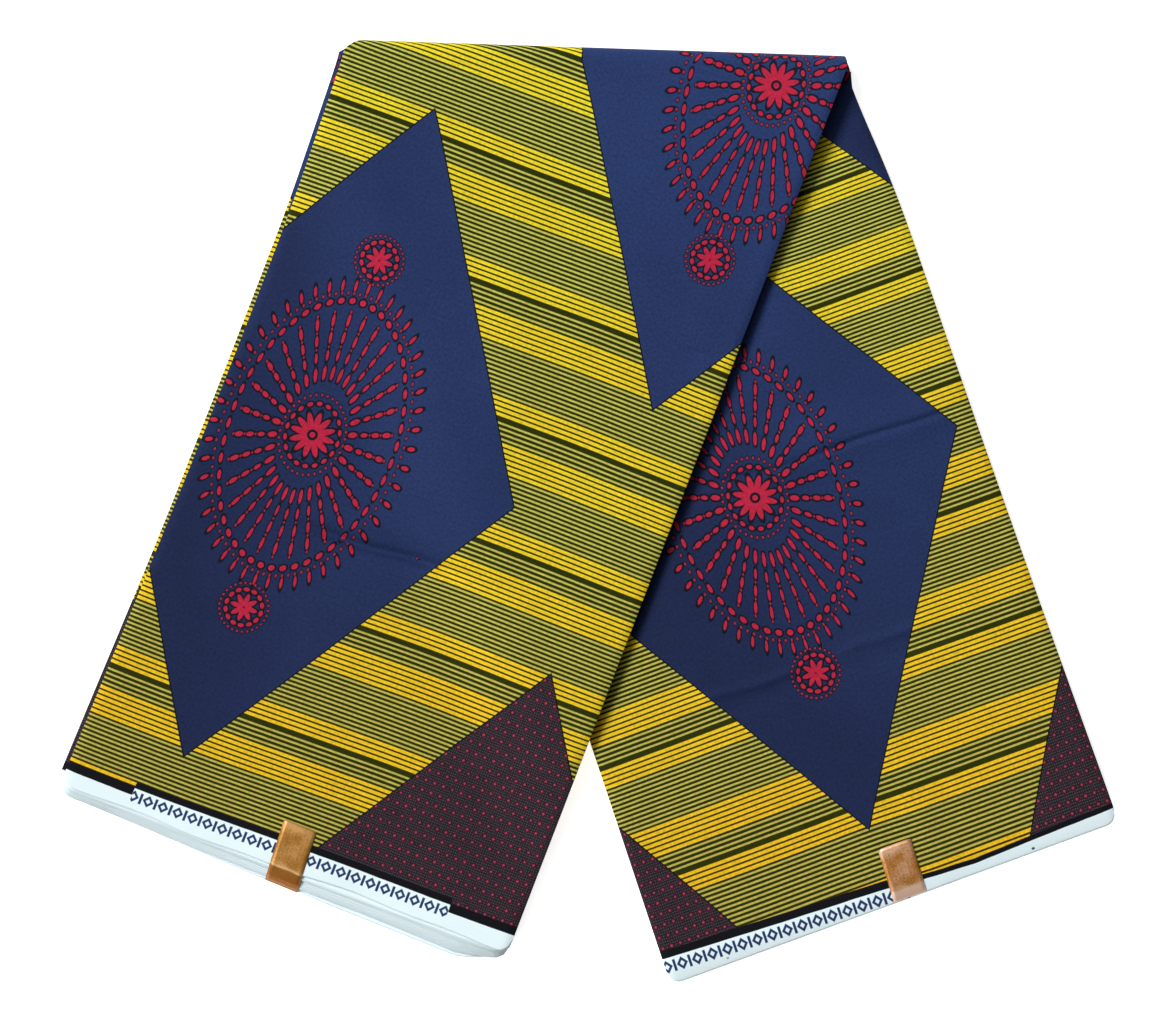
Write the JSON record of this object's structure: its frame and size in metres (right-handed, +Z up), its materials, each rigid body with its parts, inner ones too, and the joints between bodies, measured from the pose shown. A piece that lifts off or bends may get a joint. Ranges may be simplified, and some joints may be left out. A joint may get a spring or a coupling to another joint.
{
  "type": "folded wax print fabric",
  "caption": "Length of wax print cotton cloth, folded into a flat pack and bent once into an inverted V, with the front leg lying on the back leg and a paper seal at each end.",
  "frame": {"origin": "centre of the bounding box, on the surface it lies on", "axes": "+Z up, +Y towards the bend, +X to the right with the front leg on the left"},
  "size_m": [0.6977, 0.6216, 0.0184],
  "materials": {
    "print_outer": "wax printed plain weave cotton, soft sheen",
    "folded_edges": "folded plies of the same cotton with white selvedges",
    "print_inner": "wax printed plain weave cotton, soft sheen",
    "orange_foil": "satin metallic foil paper",
    "copper_foil": "satin metallic foil paper"
  },
  "bodies": {
    "root": {"outer_layer": "print_outer", "hidden_layers": "folded_edges", "inner_layer": "print_inner", "front_seal": "orange_foil", "back_seal": "copper_foil"}
  },
  "joints": []
}
